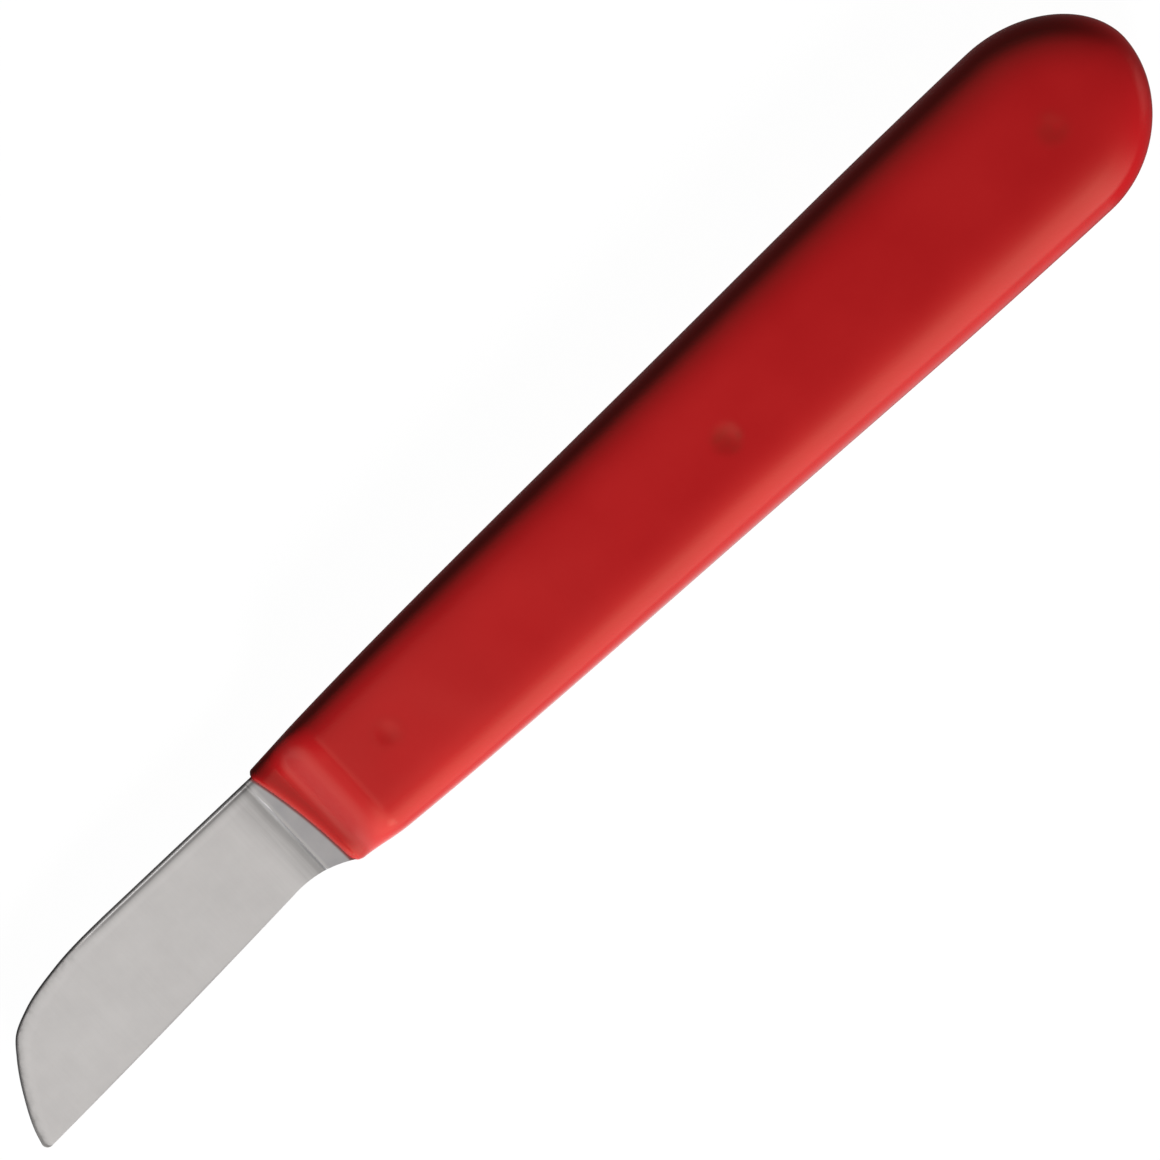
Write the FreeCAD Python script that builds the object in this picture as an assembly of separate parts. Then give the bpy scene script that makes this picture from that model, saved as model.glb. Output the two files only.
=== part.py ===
import FreeCAD, Part
import math
import os

os.makedirs("parts", exist_ok=True)
V = FreeCAD.Vector

# Frame: +X to the blade's tip, +Y to the cutting edge, +Z up out of the upper flank.
# The origin is under the middle of the knife, on the plane of the lower broad face.
BUTT_X = -85.0
TIP_X = 85.0
MID_Z = 6.3

# Half sizes of the blocks that trim the parts, past the knife all round.
CLEAR_X = 120.0
CLEAR_Y = 30.0
CLEAR_Z = 2 * MID_Z

# Thicknesses through the handle.
TANG_HALF = 1.0
SKIN = 0.75
SKIN_HALF = MID_Z
SCALE_HALF = SKIN_HALF - SKIN
FILM_HALF = TANG_HALF + SKIN

# Skin outline along the grip: station, half-width, rounding of the long edge there.
STATIONS = [
    (41.5, 7.75, 1.2),
    (38.3, 8.0, 1.2),
    (32.25, 8.45, 2.0),
    (19.1, 9.15, 2.7),
    (-22.0, 10.5, 4.1),
    (-58.0, 11.55, 5.2),
    (-71.2, 11.7, 5.3),
]
FRONT_SLOPE = 0.07
SHOULDER_X = STATIONS[-1][0]
SHOULDER_HALF_WIDTH = STATIONS[-1][1]
NOSE_Y = -1.3

# Front bevel of the grip, on the skin's surface and on the wood's.
BEVEL_TOP_X = 34.0
BEVEL_FOOT_X = 37.4
BEVEL_TOP_BLEND = 2.3
BEVEL_FOOT_BLEND = 1.0
SCALE_FRONT_LIP = 0.6

# Front end of the skin on the ricasso, a slanted arc with a rounded lip.
LIP_SPINE = (41.1, -8.6)
LIP_MIDDLE = (39.45, -1.2)
LIP_EDGE = (38.6, 8.6)
LIP_ROUND = 0.45

# Pins, and the shallow dimples the skin shows over them.
PIN_STATIONS = [("front_pin", 26.2, -0.5), ("middle_pin", -22.9, 1.2), ("rear_pin", -72.0, 0.7)]
PIN_RADIUS = 1.2
PIN_RECESS = 0.3
DIMPLE_RADIUS = 1.6
DIMPLE_DEPTH = 0.22

# Blade outline ahead of the tang, which ends at the second station.
SPINE_Y = -7.25
DROP_X = 63.0
DROP_POINTS = [(70.7, -6.74), (76.2, -5.5), (79.0, -4.12), (80.6, -2.25), (82.8, 1.2)]
FRONT_END = (84.94, 6.45)
TIP_ROUND = (84.84, 7.22)
EDGE_TIP = (84.2, 7.5)
EDGE_MIDDLE = (65.0, 6.62)
EDGE_HEEL = (46.0, 5.5)
CHOIL_MIDDLE = (41.6, 5.85)

# Flat grind of each flank, from just inside the spine down to the edge.
PLUNGE_X = 41.4
PLUNGE_RADIUS = 0.5
GRIND_START_Y = -6.8
GRIND_STEP = 0.06
GRIND_SLOPE = 0.0545
SHARPENING_WIDTH = 0.7
SHARPENING_OVERSHOOT = 0.2
SHARPENING_START = 1.5
SHARPENING_RAMP = 3.0
SPINE_SOFTENING = 0.2


def interpolate(table, x, column):
    """Value of one column of a station table at x, the stations running from high x to low."""
    if x >= table[0][0]:
        return table[0][column]
    for near, far in zip(table, table[1:]):
        if x >= far[0]:
            share = (near[0] - x) / (near[0] - far[0])
            return near[column] + share * (far[column] - near[column])
    return table[-1][column]


def side_curve(inset, side):
    """Long side of the grip, one edge between each two stations."""
    points = [V(x, side * (half - inset), 0) for x, half, _ in STATIONS]
    curve = Part.BSplineCurve()
    curve.interpolate(
        Points=points,
        InitialTangent=V(-1, side * FRONT_SLOPE, 0),
        FinalTangent=V(-1, 0, 0),
    )
    knots = curve.getKnots()
    return [curve.toShape(start, end) for start, end in zip(knots, knots[1:])]


def butt_curve(inset, side):
    """Quarter ellipse from a shoulder to the butt's nose, which sits off the centre line."""
    centre = V(SHOULDER_X, NOSE_Y, 0)
    reach = SHOULDER_X - BUTT_X - inset
    spread = SHOULDER_HALF_WIDTH - inset - side * NOSE_Y
    nose = centre + V(-reach, 0, 0)
    shoulder = centre + V(0, side * spread, 0)
    if reach > spread:
        ellipse = Part.Ellipse(nose, shoulder, centre)
    else:
        ellipse = Part.Ellipse(shoulder, nose, centre)
    start, end = sorted([ellipse.parameter(nose), ellipse.parameter(shoulder)])
    if end - start > math.pi:
        start, end = end, start + 2 * math.pi
    return ellipse.toShape(start, end)


def grip_edges(inset, front_station=0):
    """Both long sides from the given station back, and the butt."""
    edges = side_curve(inset, 1)[front_station:] + side_curve(inset, -1)[front_station:]
    edges.append(butt_curve(inset, 1))
    edges.append(butt_curve(inset, -1))
    return edges


def block(x_from, x_to, z_from, z_to):
    """Box between two stations and two heights, wider than the knife."""
    corner = V(x_from, -CLEAR_Y, z_from)
    return Part.makeBox(x_to - x_from, 2 * CLEAR_Y, z_to - z_from, corner)


def face_from(edges):
    return Part.Face(Part.Wire(Part.__sortEdges__(edges)))


def rounded_path(corners):
    """Closed path through (x, z, radius) corners, each corner blended with its radius."""
    ends = []
    edges = []
    for index, (x, z, radius) in enumerate(corners):
        corner = V(x, 0, z)
        before = corners[index - 1]
        after = corners[(index + 1) % len(corners)]
        back = (V(before[0], 0, before[1]) - corner).normalize()
        ahead = (V(after[0], 0, after[1]) - corner).normalize()
        if radius == 0:
            ends.append((corner, corner))
            continue
        half_angle = back.getAngle(ahead) / 2
        trim = radius / math.tan(half_angle)
        start = corner + back * trim
        end = corner + ahead * trim
        bisector = (back + ahead).normalize()
        middle = corner + bisector * (radius / math.sin(half_angle) - radius)
        edges.append(Part.Arc(start, middle, end).toShape())
        ends.append((start, end))
    for index, (start, _) in enumerate(ends):
        edges.append(Part.makeLine(ends[index - 1][1], start))
    return edges


def grip_block(inset, corners):
    """Plan outline of the grip, limited by a side profile given as (x, z, radius) corners."""
    front_x, front_half, _ = STATIONS[0]
    front_half = front_half - inset
    outline = grip_edges(inset)
    outline.append(Part.makeLine(V(front_x, -front_half, 0), V(front_x, front_half, 0)))
    plan = face_from(outline).extrude(V(0, 0, 2 * CLEAR_Z))
    plan.translate(V(0, 0, -CLEAR_Z))
    mirrored = [(x, -z, radius) for x, z, radius in reversed(corners)]
    profile = face_from(rounded_path(corners + mirrored)).extrude(V(0, 2 * CLEAR_Y, 0))
    profile.translate(V(0, -CLEAR_Y, 0))
    return plan.common(profile).Solids[0]


def round_long_edges(form, inset):
    """Rounds the long edges and the butt with a radius that grows along the stations."""
    chosen = []
    for index, edge in enumerate(form.Edges):
        box = edge.BoundBox
        if box.XLength < 0.001:
            continue
        ends = sorted([edge.firstVertex().Point, edge.lastVertex().Point], key=lambda p: p.x)
        radii = [interpolate(STATIONS, point.x, 2) - inset for point in ends]
        if ends[0].y + ends[1].y < 0:
            radii.reverse()
        chosen.append((index + 1, radii[0], radii[1]))
    document = FreeCAD.newDocument()
    base = document.addObject("Part::Feature", "Base")
    base.Shape = form
    rounded = document.addObject("Part::Fillet", "Rounded")
    rounded.Base = base
    rounded.Edges = chosen
    document.recompute()
    shape = rounded.Shape.copy()
    FreeCAD.closeDocument(document.Name)
    return shape.Solids[0]


def skin_form():
    """Outside of the skin: grip, front bevel, and the film that runs out over the ricasso."""
    corners = [
        (BUTT_X - 5, SKIN_HALF, 0),
        (BEVEL_TOP_X, SKIN_HALF, BEVEL_TOP_BLEND),
        (BEVEL_FOOT_X, FILM_HALF, BEVEL_FOOT_BLEND),
        (STATIONS[0][0] + 5, FILM_HALF, 0),
    ]
    form = round_long_edges(grip_block(0, corners), 0)
    form = form.cut(lip_cutter())
    front = [edge for edge in form.Edges if edge.BoundBox.XMin > BEVEL_FOOT_X + 1.3]
    return form.makeFillet(LIP_ROUND, front).Solids[0]


def lip_cutter():
    """Everything ahead of the slanted front end of the skin."""
    start = V(LIP_SPINE[0], LIP_SPINE[1], 0)
    end = V(LIP_EDGE[0], LIP_EDGE[1], 0)
    arc = Part.Arc(start, V(LIP_MIDDLE[0], LIP_MIDDLE[1], 0), end).toShape()
    corner_edge = V(start.x + 8, end.y, 0)
    corner_spine = V(start.x + 8, start.y, 0)
    sides = [
        Part.makeLine(end, corner_edge),
        Part.makeLine(corner_edge, corner_spine),
        Part.makeLine(corner_spine, start),
    ]
    cutter = face_from([arc] + sides).extrude(V(0, 0, 2 * CLEAR_Z))
    cutter.translate(V(0, 0, -CLEAR_Z))
    return cutter


def wood_form():
    """Outside of both scales together, a skin's thickness inside the finished grip."""
    run = BEVEL_FOOT_X - BEVEL_TOP_X
    drop = SKIN_HALF - FILM_HALF
    length = math.hypot(run, drop)
    slope = run / drop
    offset_x = BEVEL_TOP_X - SKIN * drop / length
    offset_z = SKIN_HALF - SKIN * run / length
    top_x = offset_x + (offset_z - SCALE_HALF) * slope
    lip_z = TANG_HALF + SCALE_FRONT_LIP
    lip_x = offset_x + (offset_z - lip_z) * slope
    corners = [
        (BUTT_X - 5, SCALE_HALF, 0),
        (top_x, SCALE_HALF, BEVEL_TOP_BLEND - SKIN),
        (lip_x, lip_z, 0),
    ]
    return round_long_edges(grip_block(SKIN, corners), SKIN)


def pin(x, y):
    half = SCALE_HALF - PIN_RECESS
    return Part.makeCylinder(PIN_RADIUS, 2 * half, V(x, y, -half), V(0, 0, 1))


def pin_hole(x, y):
    return Part.makeCylinder(PIN_RADIUS, 2 * CLEAR_Z, V(x, y, -CLEAR_Z), V(0, 0, 1))


def dimples():
    """Shallow spherical hollows over the pin ends, on both broad faces."""
    ball = (DIMPLE_RADIUS**2 + DIMPLE_DEPTH**2) / (2 * DIMPLE_DEPTH)
    reach = SKIN_HALF + ball - DIMPLE_DEPTH
    hollows = []
    for _, x, y in PIN_STATIONS:
        hollows.append(Part.makeSphere(ball, V(x, y, reach)))
        hollows.append(Part.makeSphere(ball, V(x, y, -reach)))
    return hollows


def flat_arc(start, middle, end):
    return Part.Arc(V(*start, 0), V(*middle, 0), V(*end, 0)).toShape()


def blade_edges():
    """Outline ahead of the tang: spine, dropped nose, tip, cutting edge and choil."""
    root_x, root_half, _ = STATIONS[1]
    root_y = root_half - SKIN
    drop_start = V(DROP_X, SPINE_Y, 0)
    nose = Part.BSplineCurve()
    points = [drop_start] + [V(x, y, 0) for x, y in DROP_POINTS] + [V(*FRONT_END, 0)]
    nose.interpolate(Points=points, InitialTangent=V(1, 0, 0), FinalTangent=V(0.2, 1, 0))
    return [
        Part.makeLine(V(root_x, SPINE_Y, 0), drop_start),
        nose.toShape(),
        flat_arc(FRONT_END, TIP_ROUND, EDGE_TIP),
        flat_arc(EDGE_TIP, EDGE_MIDDLE, EDGE_HEEL),
        flat_arc(EDGE_HEEL, CHOIL_MIDDLE, (root_x, root_y)),
    ]


def wedge(points, x_from, x_to):
    """Prism along X over a (y, z) outline."""
    outline = Part.makePolygon([V(x_from, y, z) for y, z in points + points[:1]])
    return Part.Face(outline).extrude(V(x_to - x_from, 0, 0))


def grind_cutter():
    """Removes the flat grind of the upper flank, with a small radius at the plunge line."""
    start_z = TANG_HALF - GRIND_STEP
    far_y = 10.0
    far_z = start_z - GRIND_SLOPE * (far_y - GRIND_START_Y)
    points = [(GRIND_START_Y, start_z), (far_y, far_z), (far_y, 2.0), (GRIND_START_Y, 2.0)]
    cutter = wedge(points, PLUNGE_X, TIP_X + 5)
    plunge = [
        edge
        for edge in cutter.Edges
        if edge.BoundBox.XMax < PLUNGE_X + 0.001 and edge.BoundBox.ZMax < 1.5
    ]
    return cutter.makeFillet(PLUNGE_RADIUS, plunge)


def sharpening_cutter():
    """Removes the narrow sharpening bevel of the upper flank, which ramps out at the heel."""
    heel = V(*EDGE_HEEL, 0)
    tip = V(*EDGE_TIP, 0)
    along = (tip - heel).normalize()
    across = V(-along.y, along.x, 0)
    start = heel + along * SHARPENING_START
    residue = TANG_HALF - GRIND_STEP - GRIND_SLOPE * (EDGE_HEEL[1] - GRIND_START_Y)
    outer = start + across * SHARPENING_OVERSHOOT
    inner = start - across * SHARPENING_WIDTH + V(0, 0, residue)
    ramp = V(0, 0, 1) - along * SHARPENING_RAMP
    outline = Part.makePolygon([outer, inner, inner + ramp, outer + ramp, outer])
    return Part.Face(outline).extrude(along * (TIP_X - BUTT_X) / 2)


def flipped(shape):
    """The same cutter for the lower flank."""
    return shape.mirror(V(0, 0, 0), V(0, 0, 1))


def softened_front(body):
    """The plate ahead of the tang, with the spine's and the nose's edges rounded."""
    front = body.common(block(STATIONS[1][0], CLEAR_X, -CLEAR_Z, CLEAR_Z)).Solids[0]
    boxes = [(edge, edge.BoundBox) for edge in front.Edges]
    edges = [edge for edge, box in boxes if box.YMin < SPINE_Y + 0.01 and box.XLength > 1]
    return front.makeFillet(SPINE_SOFTENING, edges)


def make_blade():
    """Blade and tang in one piece, centred on the mid-plane."""
    plan = face_from(grip_edges(SKIN, front_station=1) + blade_edges())
    body = plan.extrude(V(0, 0, 2 * TANG_HALF))
    body.translate(V(0, 0, -TANG_HALF))
    front = softened_front(body)
    for cutter in (grind_cutter(), sharpening_cutter()):
        front = front.cut(cutter)
        front = front.cut(flipped(cutter))
    tang = body.common(block(-CLEAR_X, STATIONS[1][0], -CLEAR_Z, CLEAR_Z))
    body = tang.fuse(front).removeSplitter()
    for _, x, y in PIN_STATIONS:
        body = body.cut(pin_hole(x, y))
    return body.Solids[0]


def make_parts():
    wood = wood_form().cut(block(-CLEAR_X, CLEAR_X, -TANG_HALF, TANG_HALF))
    wood = wood.cut([pin_hole(x, y) for _, x, y in PIN_STATIONS])
    lower, upper = sorted(wood.Solids, key=lambda solid: solid.CenterOfMass.z)
    parts = {"blade": make_blade(), "upper_scale": upper, "lower_scale": lower}
    for pin_name, x, y in PIN_STATIONS:
        parts[pin_name] = pin(x, y)
    skin = skin_form().cut(dimples())
    parts["handle_coating"] = skin.cut(list(parts.values())).Solids[0]
    return parts


for name, shape in make_parts().items():
    shape.translate(V(0, 0, MID_Z))
    shape.exportStep(f"parts/{name}.step")
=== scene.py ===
import bpy
import bmesh
import bisect
import math
from mathutils import Matrix, Vector
from mathutils.noise import noise as noise_at


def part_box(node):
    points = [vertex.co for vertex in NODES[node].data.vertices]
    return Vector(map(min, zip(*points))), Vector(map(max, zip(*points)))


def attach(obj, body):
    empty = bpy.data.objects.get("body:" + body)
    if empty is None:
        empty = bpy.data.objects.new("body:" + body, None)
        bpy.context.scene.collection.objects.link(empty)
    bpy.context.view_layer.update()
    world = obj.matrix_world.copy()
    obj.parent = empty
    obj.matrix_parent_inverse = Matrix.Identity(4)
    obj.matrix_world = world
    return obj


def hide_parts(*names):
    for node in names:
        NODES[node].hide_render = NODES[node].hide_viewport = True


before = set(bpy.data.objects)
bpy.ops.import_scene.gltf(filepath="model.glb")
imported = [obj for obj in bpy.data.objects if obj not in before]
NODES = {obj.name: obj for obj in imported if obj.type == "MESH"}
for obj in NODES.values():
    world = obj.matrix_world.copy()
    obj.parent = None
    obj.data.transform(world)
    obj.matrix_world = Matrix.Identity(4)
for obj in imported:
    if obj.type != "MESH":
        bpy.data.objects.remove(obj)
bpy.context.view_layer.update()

MM = 0.001

# ---------------------------------------------------------------- the frame's own sizes
SKIN_LOW, SKIN_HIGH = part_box("handle_coating")
BLADE_LOW, BLADE_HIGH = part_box("blade")
BUTT_X = SKIN_LOW.x
MID_Z = (SKIN_LOW.z + SKIN_HIGH.z) / 2
SKIN_HALF = (SKIN_HIGH.z - SKIN_LOW.z) / 2
SKIN_HALF_WIDTH = (SKIN_HIGH.y - SKIN_LOW.y) / 2
TANG_HALF = (BLADE_HIGH.z - BLADE_LOW.z) / 2
PIN_NAMES = ("front_pin", "middle_pin", "rear_pin")
PINS = [(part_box(name)[0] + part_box(name)[1]) / 2 for name in PIN_NAMES]


# ---------------------------------------------------------------- camera
LENS = 338.8
CAMERA_HEIGHT = 1.2
LOOK_AT = Vector((-0.6 * MM, 1.6 * MM, MID_Z))
HANDLE_TURN = math.radians(137.0)


def make_camera():
    """Straight down on the upper face, the blade's tip at the lower left of the picture."""
    data = bpy.data.cameras.new("camera")
    data.lens = LENS
    data.sensor_width = 36.0
    data.clip_end = 20.0
    camera = bpy.data.objects.new("camera", data)
    bpy.context.scene.collection.objects.link(camera)
    right = Vector((math.cos(HANDLE_TURN), math.sin(HANDLE_TURN), 0))
    up = Vector((-right.y, right.x, 0))
    turn = Matrix((right, up, Vector((0, 0, 1)))).transposed()
    camera.matrix_world = Matrix.Translation(LOOK_AT + Vector((0, 0, CAMERA_HEIGHT))) @ turn.to_4x4()
    bpy.context.scene.camera = camera


# ---------------------------------------------------------------- stage and light
def direction(azimuth, elevation):
    """Unit vector towards a light; azimuth 0 is +X and 90 is +Y, in degrees."""
    a, e = math.radians(azimuth), math.radians(elevation)
    return Vector((math.cos(a) * math.cos(e), math.sin(a) * math.cos(e), math.sin(e)))


def make_light(name, azimuth, elevation, distance, size, radiance, target, diffuse=True, glossy=True):
    """Soft box facing a target, sized in metres and as bright as its radiance says."""
    data = bpy.data.lights.new(name, "AREA")
    data.shape = "RECTANGLE"
    data.size, data.size_y = size
    data.energy = radiance * math.pi * size[0] * size[1]
    light = bpy.data.objects.new(name, data)
    bpy.context.scene.collection.objects.link(light)
    towards = direction(azimuth, elevation)
    light.location = target + towards * distance
    light.rotation_mode = "QUATERNION"
    light.rotation_quaternion = towards.to_track_quat("Z", "Y")
    light.visible_camera = False
    light.visible_diffuse = diffuse
    light.visible_glossy = glossy


def math_node(tree, operation, first, second=0.0, clamp=False):
    """Sum, product and the like of two numbers or sockets."""
    node = tree.nodes.new("ShaderNodeMath")
    node.operation = operation
    node.use_clamp = clamp
    for socket, value in zip(node.inputs, (first, second)):
        if isinstance(value, (int, float)):
            socket.default_value = value
        else:
            tree.links.new(value, socket)
    return node.outputs[0]


def facing(tree, vector, towards):
    """Dot product of a direction with a fixed one."""
    node = tree.nodes.new("ShaderNodeVectorMath")
    node.operation = "DOT_PRODUCT"
    tree.links.new(vector, node.inputs[0])
    node.inputs[1].default_value = towards
    return node.outputs["Value"]


def band(tree, value, low, high, to_low=0.0, to_high=1.0, smooth_step=False):
    """Maps a value from one range to another, clamped."""
    node = tree.nodes.new("ShaderNodeMapRange")
    if smooth_step:
        node.interpolation_type = "SMOOTHSTEP"
    for socket, number in zip(("From Min", "From Max", "To Min", "To Max"), (low, high, to_low, to_high)):
        node.inputs[socket].default_value = number
    tree.links.new(value, node.inputs["Value"])
    return node.outputs["Result"]


# Studio round the knife: azimuths of the bright wall and of the pale ground, and how bright
# each of them is. A spread is the cosine of the turn from that azimuth where the wall or the
# ground begins, and where it is full. A height is the sine of an elevation: the wall starts at
# the horizon and fades out overhead, and the ground fades out as it rises.
WALL_AZIMUTH, WALL_GLOW, WALL_SPREAD = 60, 1.90, (0.35, 0.85)
WALL_FOOT, WALL_FADE = (-0.10, 0.04), (0.75, 1.05)
GROUND_AZIMUTH, GROUND_GLOW, GROUND_SPREAD = 40, 1.20, (0.50, 0.74)
GROUND_FADE = (0.25, 0.60)
ROOM_GLOW = 0.085
WARM_GLOW, WARM_HEIGHT = (1.0, 0.96, 0.90), (0.45, 0.85)


def make_world():
    """Dim room with a wide soft wall on the edge side, warm at its top, and a pale ground.

    The knife only mirrors the room; the lamps light it.
    """
    world = bpy.data.worlds.new("studio")
    bpy.context.scene.world = world
    world.cycles_visibility.diffuse = False
    world.use_nodes = True
    tree = world.node_tree
    sky = tree.nodes.new("ShaderNodeTexCoord").outputs["Generated"]
    height = facing(tree, sky, (0, 0, 1))
    flat = tree.nodes.new("ShaderNodeVectorMath")
    flat.operation = "MULTIPLY"
    flat.inputs[1].default_value = (1, 1, 0)
    tree.links.new(sky, flat.inputs[0])
    round_about = tree.nodes.new("ShaderNodeVectorMath")
    round_about.operation = "NORMALIZE"
    tree.links.new(flat.outputs[0], round_about.inputs[0])
    heading = round_about.outputs[0]
    wall = band(tree, facing(tree, heading, direction(WALL_AZIMUTH, 0)), *WALL_SPREAD, smooth_step=True)
    fade = band(tree, height, *WALL_FADE, WALL_GLOW, 0, smooth_step=True)
    above = band(tree, height, *WALL_FOOT)
    wall = math_node(tree, "MULTIPLY", math_node(tree, "MULTIPLY", wall, fade), above)
    ground_side = facing(tree, heading, direction(GROUND_AZIMUTH, 0))
    ground = band(tree, ground_side, *GROUND_SPREAD, smooth_step=True)
    below = band(tree, height, *GROUND_FADE, GROUND_GLOW, 0)
    lit = math_node(tree, "MAXIMUM", wall, math_node(tree, "MULTIPLY", ground, below))
    tint = tree.nodes.new("ShaderNodeMix")
    tint.data_type = "RGBA"
    tree.links.new(band(tree, height, *WARM_HEIGHT, smooth_step=True), tint.inputs["Factor"])
    tint.inputs[6].default_value = (1, 1, 1, 1)
    tint.inputs[7].default_value = (*WARM_GLOW, 1)
    background = tree.nodes["Background"]
    tree.links.new(tint.outputs[2], background.inputs["Color"])
    tree.links.new(math_node(tree, "ADD", lit, ROOM_GLOW), background.inputs["Strength"])


def make_lights():
    """Key lamp on the edge side, weak fills, and a box that only the glossy skin mirrors."""
    make_world()
    butt = Vector((BUTT_X, 0, MID_Z))
    make_light("key", 63, 32.5, 0.62, (0.20, 0.20), 56.0, LOOK_AT, glossy=False)
    make_light("butt_fill", 148, -8, 0.16, (0.08, 0.08), 8.2, butt, glossy=False)
    make_light("room_fill", 255, 40, 0.90, (0.90, 0.90), 0.34, LOOK_AT, glossy=False)
    make_light("under_fill", 90, -80, 0.90, (1.00, 1.00), 1.2, LOOK_AT, glossy=False)
    make_light("side_fill", 270, -62, 0.60, (0.50, 0.50), 2.0, LOOK_AT, glossy=False)
    make_light("top_box", 0, 76, 0.62, (0.34, 0.23), 0.70, LOOK_AT, diffuse=False)


STAGE_GLOW, FLOOR_LIT_SHARE = 0.985, 0.03
FLOOR_HALF, FLOOR_GAP, BACKDROP_RADIUS = 4.0, 0.02 * MM, 3.0


def glow_material(name, strength, lit_share):
    """Even white with a share of plain diffuse, clear from behind."""
    material = bpy.data.materials.new(name)
    material.use_nodes = True
    tree = material.node_tree
    tree.nodes.clear()
    output = tree.nodes.new("ShaderNodeOutputMaterial")
    add = tree.nodes.new("ShaderNodeAddShader")
    glow = tree.nodes.new("ShaderNodeEmission")
    lit = tree.nodes.new("ShaderNodeBsdfDiffuse")
    back = tree.nodes.new("ShaderNodeMixShader")
    clear = tree.nodes.new("ShaderNodeBsdfTransparent")
    side = tree.nodes.new("ShaderNodeNewGeometry")
    glow.inputs["Strength"].default_value = strength
    lit.inputs["Color"].default_value = (lit_share, lit_share, lit_share, 1)
    tree.links.new(glow.outputs[0], add.inputs[0])
    tree.links.new(lit.outputs[0], add.inputs[1])
    tree.links.new(side.outputs["Backfacing"], back.inputs[0])
    tree.links.new(add.outputs[0], back.inputs[1])
    tree.links.new(clear.outputs[0], back.inputs[2])
    tree.links.new(back.outputs[0], output.inputs["Surface"])
    return material


def seen_by_camera_only(stage):
    """Keeps a stage object out of the light, the reflections and the shadows."""
    for flag in ("visible_diffuse", "visible_glossy", "visible_transmission", "visible_shadow"):
        setattr(stage, flag, False)


def make_stage():
    """Pale floor under the knife and a white shell all round, both seen by the camera only."""
    mesh = bpy.data.meshes.new("floor")
    half = FLOOR_HALF
    corners = [(-half, -half, 0), (half, -half, 0), (half, half, 0), (-half, half, 0)]
    mesh.from_pydata(corners, [], [(0, 1, 2, 3)])
    floor = bpy.data.objects.new("floor", mesh)
    bpy.context.scene.collection.objects.link(floor)
    floor.location.z = -FLOOR_GAP
    floor.data.materials.append(glow_material("floor_white", STAGE_GLOW, FLOOR_LIT_SHARE))
    seen_by_camera_only(floor)
    bm = bmesh.new()
    bmesh.ops.create_uvsphere(bm, u_segments=48, v_segments=24, radius=BACKDROP_RADIUS)
    bmesh.ops.reverse_faces(bm, faces=bm.faces)
    shell_mesh = bpy.data.meshes.new("backdrop")
    bm.to_mesh(shell_mesh)
    bm.free()
    backdrop = bpy.data.objects.new("backdrop", shell_mesh)
    bpy.context.scene.collection.objects.link(backdrop)
    backdrop.data.materials.append(glow_material("backdrop_white", STAGE_GLOW, 0.0))
    seen_by_camera_only(backdrop)


# ---------------------------------------------------------------- shape of the dipped skin
SHOULDER_X = -71.2
# Stations from the lip back to the butt: x, half-width, and the plan reach and height of the
# long rounding there. Sizes in the two sections on shape are in millimetres.
SKIN_STATIONS = [
    (41.5, 7.75, 1.3, 1.3),
    (38.3, 8.00, 3.0, 1.6),
    (32.25, 8.45, 5.6, 3.3),
    (19.1, 9.15, 6.0, 3.8),
    (-22.0, 10.50, 7.1, 5.5),
    (-58.0, 11.55, 8.3, 6.1),
    (SHOULDER_X, 11.70, 9.0, 6.15),
]
# x and corner radius along the CAD's skin, which the inside of the skin follows.
CAD_ROUNDING = [
    (41.5, 1.2),
    (38.3, 1.2),
    (32.25, 2.0),
    (19.1, 2.7),
    (-22.0, 4.1),
    (-58.0, 5.2),
    (SHOULDER_X, 5.3),
]
NOSE_Y = -1.3
# Powers of the superellipses: the butt's outline, the long rounding, the round corners inside,
# and the softer rounding of the front bevel's corner on the spine side.
BUTT_POWER = 1.92
ROUNDING_POWER = 3.0
INNER_POWER = 2.0
BEVEL_POWER = 2.2
# How far ahead of the bevel's top that softer rounding sets in, and over what lengths it grows
# and, past the foot, fades again.
SOFT_DELAY, SOFT_RISE, SOFT_FALL = 0.2, 1.8, 1.5
BEVEL_TOP_X, BEVEL_FOOT_X = 34.0, 37.4
BEVEL_TOP_BLEND, BEVEL_FOOT_BLEND = 2.8, 1.5
FILM, CLEARANCE = 0.75, 0.01
FILM_SIDE_Y, FILM_LENGTH = 8.3, 0.6
INNER_BEVEL_SHIFT = -0.35
LIP_SPINE, LIP_MIDDLE, LIP_EDGE = (41.1, -8.6), (39.45, -1.2), (38.6, 8.6)
LIP_ROUND = 0.55
LIP_EASE, LIP_EASE_Y = 0.3, 6.8
# Extra lean of the outline on the edge side: how much, where it starts, and over what length.
BEVEL_LEAN, LIP_LEAN = (0.34, 31.5, 5.5), (0.62, 37.5, 1.8)
# Depth and radius of the dimple over each pin, front to rear.
DIMPLES = [(0.04, 1.6), (0.09, 2.1), (0.05, 1.9)]
UNEVEN_DEPTH, UNEVEN_LENGTH = 0.035, 11.0
# The relief fades out down the sides, from full on the flat to none at this share of the height.
RELIEF_FLOOR = 0.75
# Steps of the mesh round a corner and across the flat, round the lip, from the slanted lip to
# the straight sections, and round the butt outside and inside.
CORNER_STEPS, FLAT_STEPS = 14, 24
LIP_STEPS, SLANT_STEPS = 6, 10
BUTT_STEPS, INNER_BUTT_STEPS = 45, 18
# Coarse and fine spacing of the sections, and how far the fine one reaches past a detail.
SKIN_STEPS, INNER_STEPS = (0.6, 0.2), (2.0, 0.4)
BEVEL_MARGINS, PIN_MARGIN = (2.5, 2.0), 2.2


def smooth(t):
    """Smooth step from 0 to 1."""
    t = min(1.0, max(0.0, t))
    return t * t * (3 - 2 * t)


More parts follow.
